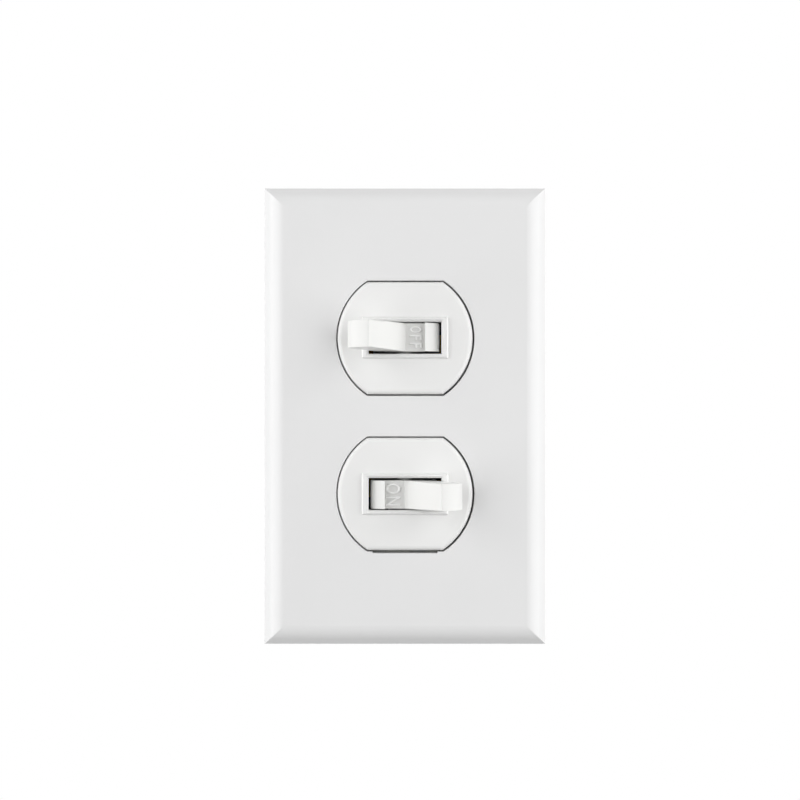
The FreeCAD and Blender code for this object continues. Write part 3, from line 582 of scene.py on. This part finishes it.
def letter_mesh(letter, width, height):
    """One raised letter with rounded edges, fitted to a width and height, its corner at the origin."""
    curve = bpy.data.curves.new(letter, "FONT")
    curve.body = letter
    curve.size = 1.0
    curve.resolution_u = LETTER_STEPS
    text = bpy.data.objects.new(letter, curve)
    bpy.context.scene.collection.objects.link(text)
    graph = bpy.context.evaluated_depsgraph_get()
    graph.update()
    corners = [Vector(corner) for corner in text.evaluated_get(graph).bound_box]
    round_off = sizes().letter_relief / 2
    curve.size = height / (max(c.y for c in corners) - min(c.y for c in corners))
    curve.extrude = sizes().letter_relief - round_off
    curve.offset = sizes().letter_stroke - round_off
    curve.bevel_depth = round_off
    curve.bevel_resolution = ROUND_STEPS
    graph.update()
    mesh = bpy.data.meshes.new_from_object(text.evaluated_get(graph))
    bpy.data.objects.remove(text)
    bpy.data.curves.remove(curve)
    xs = [v.co.x for v in mesh.vertices]
    ys = [v.co.y for v in mesh.vertices]
    mesh.transform(Matrix.Translation((-min(xs), -min(ys), 0)))
    mesh.transform(Matrix.Diagonal((width / (max(xs) - min(xs)), height / (max(ys) - min(ys)), 1, 1)))
    return mesh


def word_mesh(word, widths, height):
    """A word as one mesh of raised letters, centred on the origin."""
    shape = bmesh.new()
    total = sum(widths) + sizes().letter_space * (len(widths) - 1)
    along = -total / 2
    for letter, width in zip(word, widths):
        mesh = letter_mesh(letter, width, height)
        mesh.transform(Matrix.Translation((along, -height / 2, 0)))
        shape.from_mesh(mesh)
        bpy.data.meshes.remove(mesh)
        along += width + sizes().letter_space
    mesh = bpy.data.meshes.new(word)
    shape.to_mesh(mesh)
    shape.free()
    return mesh


def raised_words(name, material):
    """OFF on the flat that shows with the lever to the left, and ON on the one that shows to the right."""
    pivot, travel = hinge_of(name)
    rest_right = travel < 0
    low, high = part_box("toggle_" + name)
    middle = (low.z + high.z) / 2 - pivot.z
    narrow, wide, o_share = sizes().narrow_letter, sizes().wide_letter, sizes().round_letter
    words = (
        ("OFF", (narrow * o_share, narrow, narrow), sizes().off_height, sizes().off_offset),
        ("ON", (wide * o_share, wide), sizes().on_height, -sizes().on_offset),
    )
    for word, widths, height, offset in words:
        mesh = word_mesh(word, widths, height)
        spot = pivot + Vector((offset, -sizes().label_rise, middle))
        place = facing(spot, FRONT, DOWN)
        shown_at_rest = (word == "ON") == rest_right
        if not shown_at_rest:
            turn = Matrix.Translation(pivot) @ Matrix.Rotation(-travel, 4, "Z") @ Matrix.Translation(-pivot)
            place = turn @ place
        mesh.transform(place)
        mesh.materials.clear()
        mesh.materials.append(material)
        placed_piece(mesh, "toggle_" + name + "_word_" + word.lower(), "toggle_" + name)


def coil_spring(name, material):
    """A smooth coil between the toggle's seat and the pin of its contact arm."""
    pivot, travel = hinge_of(name)
    end = Vector(JOINTS["spring_" + name + "_swing"]["pos_m"])
    throw = travel / 2
    start = pivot + Matrix.Rotation(-throw, 3, "Z") @ Vector((0, sizes().spring_seat, 0))
    run = end - start
    place = facing(start, run, UP)
    radius = sizes().spring_radius
    wire = sizes().spring_wire
    turns = sizes().spring_turns
    steps = turns * COIL_STEPS
    climb_length = run.length - 2 * wire - 4 * wire * DEAD_SHARE * turns
    curve = bpy.data.curves.new("coil", "CURVE")
    curve.dimensions = "3D"
    curve.bevel_depth = wire
    curve.bevel_resolution = ROUND_STEPS
    curve.use_fill_caps = True
    line = curve.splines.new("POLY")
    line.points.add(steps)
    for n in range(steps + 1):
        angle = math.tau * n / COIL_STEPS
        share = n / steps
        climb = min(max((share - DEAD_SHARE) / (1 - 2 * DEAD_SHARE), 0), 1)
        flat = 2 * wire * (min(share, DEAD_SHARE) + max(share - 1 + DEAD_SHARE, 0)) * turns
        height = wire + flat + climb * climb_length
        point = Vector((radius * math.cos(angle), radius * math.sin(angle), height))
        line.points[n].co = (*(place @ point), 1)
    coil = bpy.data.objects.new("coil", curve)
    bpy.context.scene.collection.objects.link(coil)
    graph = bpy.context.evaluated_depsgraph_get()
    graph.update()
    mesh = bpy.data.meshes.new_from_object(coil.evaluated_get(graph))
    bpy.data.objects.remove(coil)
    bpy.data.curves.remove(curve)
    mesh.materials.clear()
    mesh.materials.append(material)
    piece = placed_piece(mesh, "coil_spring_" + name, "spring_" + name)
    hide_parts("toggle_spring_" + name)


class SWITCHPLATE_OT_outer_plate(bpy.types.Operator):
    """Finish the outer plate in moulded semi-gloss white."""

    bl_idname = "switch_plate.outer_plate"
    bl_label = "Outer plate"

    def execute(self, context):
        white = moulded_white("urea moulded plate white", colours().plate[:], roughness=0.34)
        dress(white, "wall_plate")
        return {"FINISHED"}


class SWITCHPLATE_OT_device_front(bpy.types.Operator):
    """Finish the moulding with the two lobes."""

    bl_idname = "switch_plate.device_front"
    bl_label = "Device front"

    def execute(self, context):
        white = moulded_white("urea moulded device white", colours().device[:], roughness=0.38)
        dress(white, "front_moulding")
        return {"FINISHED"}


class SWITCHPLATE_OT_toggles(bpy.types.Operator):
    """Finish both levers and raise the words ON and OFF on them."""

    bl_idname = "switch_plate.toggles"
    bl_label = "Toggles and words"

    def execute(self, context):
        white = moulded_white("urea moulded toggle white", colours().toggle[:], roughness=0.32)
        # The words get a painted highlight: a lighter copy of the toggles' white, for the light they catch
        # above the shaded flats.
        bright = moulded_white("urea polished letter white painted lighter", colours().letter[:], roughness=0.16)
        for name in SWITCHES:
            dress(white, "toggle_" + name)
            raised_words(name, bright)
        return {"FINISHED"}


class SWITCHPLATE_OT_inner_plate(bpy.types.Operator):
    """Finish the inner plate in a duller moulded white."""

    bl_idname = "switch_plate.inner_plate"
    bl_label = "Inner plate"

    def execute(self, context):
        matt = moulded_white(
            "polycarbonate moulded matt white", colours().inner_plate[:], roughness=0.55, peel_mm=0.5,
            peel_depth_mm=0.012,
        )
        dress(matt, "sub_plate")
        return {"FINISHED"}


class SWITCHPLATE_OT_strap(bpy.types.Operator):
    """Finish the steel strap, its rivets and its fibre retainers."""

    bl_idname = "switch_plate.strap"
    bl_label = "Strap, rivets and retainers"

    def execute(self, context):
        zinc = colours().zinc[:]
        dress(zinc_plated("steel strip zinc plated", zinc, stretch=(1, 1, 0.06)), "mounting_strap")
        dress(zinc_plated("steel rivet zinc plated", zinc, stretch=(1, 1, 1)), "assembly_rivets")
        dress(vulcanised_fibre(colours().fibre[:]), "screw_retainers")
        return {"FINISHED"}


class SWITCHPLATE_OT_screws(bpy.types.Operator):
    """Make the threaded, slotted screws that stand for the plain packed ones."""

    bl_idname = "switch_plate.screws"
    bl_label = "Screws"

    def execute(self, context):
        zinc = zinc_plated("steel screw zinc plated", colours().zinc[:], stretch=(1, 1, 1))
        yellow = brass("brass screw turned", colours().brass[:], roughness=0.33, line_mm=0.12)
        green = dyed_zinc(colours().green[:])
        box_screws(zinc)
        plate_screw(zinc)
        binding_screws(yellow)
        ground_screw(green)
        return {"FINISHED"}


class SWITCHPLATE_OT_housing(bpy.types.Operator):
    """Finish the deep housing in dark pressed phenolic."""

    bl_idname = "switch_plate.housing"
    bl_label = "Housing"

    def execute(self, context):
        dress(moulded_phenolic(colours().housing[:]), "rear_housing")
        return {"FINISHED"}


class SWITCHPLATE_OT_contacts(bpy.types.Operator):
    """Finish the brass strips and arms, the silver buttons and the springs."""

    bl_idname = "switch_plate.contacts"
    bl_label = "Terminals, contacts and springs"

    def execute(self, context):
        strip = brass("brass strip stamped", colours().brass[:], roughness=0.38, line_mm=0.2)
        silver = silver_alloy(colours().silver[:])
        wire = drawn_wire(colours().wire[:])
        dress(strip, "common_terminal")
        for name in SWITCHES:
            dress(strip, "fixed_terminal_" + name, "contact_arm_" + name)
            dress(silver, "fixed_contact_" + name, "moving_contact_" + name)
            coil_spring(name, wire)
        return {"FINISHED"}


def soft_box(name, place, target, size, power):
    """One soft area lamp aimed at a point and hidden from the camera."""
    lamp = bpy.data.lights.new(name, "AREA")
    lamp.shape = "RECTANGLE"
    lamp.size, lamp.size_y = size
    lamp.energy = power
    holder = bpy.data.objects.new(name, lamp)
    holder.location = place
    holder.rotation_euler = (Vector(target) - Vector(place)).to_track_quat("-Z", "Y").to_euler()
    holder.visible_camera = False
    bpy.context.scene.collection.objects.link(holder)


def white_to_camera(tree, strength):
    """A strength of 1 for what is seen directly, in reflections or through a surface, and lower as light."""
    path = add(tree, "ShaderNodeLightPath")
    seen = add(
        tree, "ShaderNodeMath", {"operation": "MAXIMUM"},
        {0: path.outputs["Is Camera Ray"], 1: path.outputs["Is Glossy Ray"]},
    )
    seen = add(
        tree, "ShaderNodeMath", {"operation": "MAXIMUM"},
        {0: seen.outputs["Value"], 1: path.outputs["Is Transmission Ray"]},
    )
    level = add(
        tree, "ShaderNodeMapRange", {"To Min": strength, "To Max": 1.0}, {"Value": seen.outputs["Value"]}
    )
    return level.outputs["Result"]


def white_surround(scene):
    """A world that looks white and lights the part only a little."""
    world = bpy.data.worlds.new("white surround")
    world.use_nodes = True
    tree = world.node_tree
    tree.nodes.clear()
    strength = white_to_camera(tree, SURROUND_LIGHT)
    sky = add(tree, "ShaderNodeBackground", {"Color": (1, 1, 1, 1)}, {"Strength": strength})
    add(tree, "ShaderNodeOutputWorld", links={"Surface": sky.outputs["Background"]})
    scene.world = world


def floor_paint():
    """Matt paint that looks white and throws back only the light that a grey floor would."""
    paint = bpy.data.materials.new("studio floor paint")
    paint.use_nodes = True
    tree = paint.node_tree
    tree.nodes.clear()
    matt = add(tree, "ShaderNodeBsdfDiffuse", {"Color": (FLOOR_GREY, FLOOR_GREY, FLOOR_GREY, 1)})
    glow = add(tree, "ShaderNodeEmission", {"Color": (1, 1, 1, 1), "Strength": 1.0})
    mix = add(
        tree, "ShaderNodeMixShader", None,
        {"Fac": white_to_camera(tree, 0.0), 1: matt.outputs["BSDF"], 2: glow.outputs["Emission"]},
    )
    add(tree, "ShaderNodeOutputMaterial", links={"Surface": mix.outputs["Shader"]})
    return paint


def studio_floor(scene):
    """A wide floor below the part."""
    shape = bmesh.new()
    bmesh.ops.create_grid(shape, x_segments=1, y_segments=1, size=FLOOR_REACH)
    mesh = bpy.data.meshes.new("studio_floor")
    shape.to_mesh(mesh)
    shape.free()
    floor = bpy.data.objects.new("studio_floor", mesh)
    floor.location.z = CAD_BOX[0].z - FLOOR_DROP
    scene.collection.objects.link(floor)
    mesh.materials.append(floor_paint())


def photo_camera(scene):
    """The camera, level and square to the plate, where the photograph was taken from."""
    lens = bpy.data.cameras.new("photo camera")
    lens.sensor_width = SENSOR_WIDTH
    lens.lens = CAMERA_LENS
    lens.shift_x = SHIFT_RIGHT / PICTURE_SIDE
    lens.shift_y = SHIFT_UP / PICTURE_SIDE
    lens.clip_start = NEAR_CLIP
    camera = bpy.data.objects.new("photo camera", lens)
    camera.location = CAMERA_PLACE
    camera.rotation_euler = (math.radians(90), 0, 0)
    scene.collection.objects.link(camera)
    scene.camera = camera


class SWITCHPLATE_OT_studio(bpy.types.Operator):
    """Make the pale floor, the white surround, the soft lamps and the camera."""

    bl_idname = "switch_plate.studio"
    bl_label = "Studio and camera"

    def execute(self, context):
        scene = context.scene
        scene.view_settings.view_transform = "Standard"
        white_surround(scene)
        studio_floor(scene)
        across, forward, rise = WALL_PLACE
        for name, side in (("left soft wall", -1), ("right soft wall", 1)):
            soft_box(name, (side * across, forward, rise), WALL_AIM, WALL_SIZE, WALL_POWER)
        soft_box("back soft box", BACK_PLACE, (0, 0, 0), BACK_SIZE, BACK_POWER)
        photo_camera(scene)
        return {"FINISHED"}


OPERATORS = (
    SWITCHPLATE_OT_outer_plate,
    SWITCHPLATE_OT_device_front,
    SWITCHPLATE_OT_toggles,
    SWITCHPLATE_OT_inner_plate,
    SWITCHPLATE_OT_strap,
    SWITCHPLATE_OT_screws,
    SWITCHPLATE_OT_housing,
    SWITCHPLATE_OT_contacts,
    SWITCHPLATE_OT_studio,
)


class SWITCHPLATE_PT_panel(bpy.types.Panel):
    """The switch plate's steps and values."""

    bl_idname = "SWITCHPLATE_PT_panel"
    bl_label = "Switch plate"
    bl_space_type = "VIEW_3D"
    bl_region_type = "UI"
    bl_category = "Switch plate"

    def draw(self, context):
        for group in (context.scene.switch_plate_sizes, context.scene.switch_plate_colours):
            for name in group.bl_rna.properties.keys():
                if name not in ("rna_type", "name"):
                    self.layout.prop(group, name)
        for operator in OPERATORS:
            self.layout.operator(operator.bl_idname)


CLASSES = (SwitchPlateSizes, SwitchPlateColours, *OPERATORS, SWITCHPLATE_PT_panel)


def register():
    """Registers the classes and hangs the values on the scene."""
    for cls in CLASSES:
        bpy.utils.register_class(cls)
    bpy.types.Scene.switch_plate_sizes = PointerProperty(type=SwitchPlateSizes)
    bpy.types.Scene.switch_plate_colours = PointerProperty(type=SwitchPlateColours)


def unregister():
    """Takes the values and the classes away again."""
    del bpy.types.Scene.switch_plate_colours
    del bpy.types.Scene.switch_plate_sizes
    for cls in reversed(CLASSES):
        bpy.utils.unregister_class(cls)


def main():
    register()
    for operator in OPERATORS:
        group, step = operator.bl_idname.split(".")
        getattr(getattr(bpy.ops, group), step)()


if __name__ == "__main__":
    main()
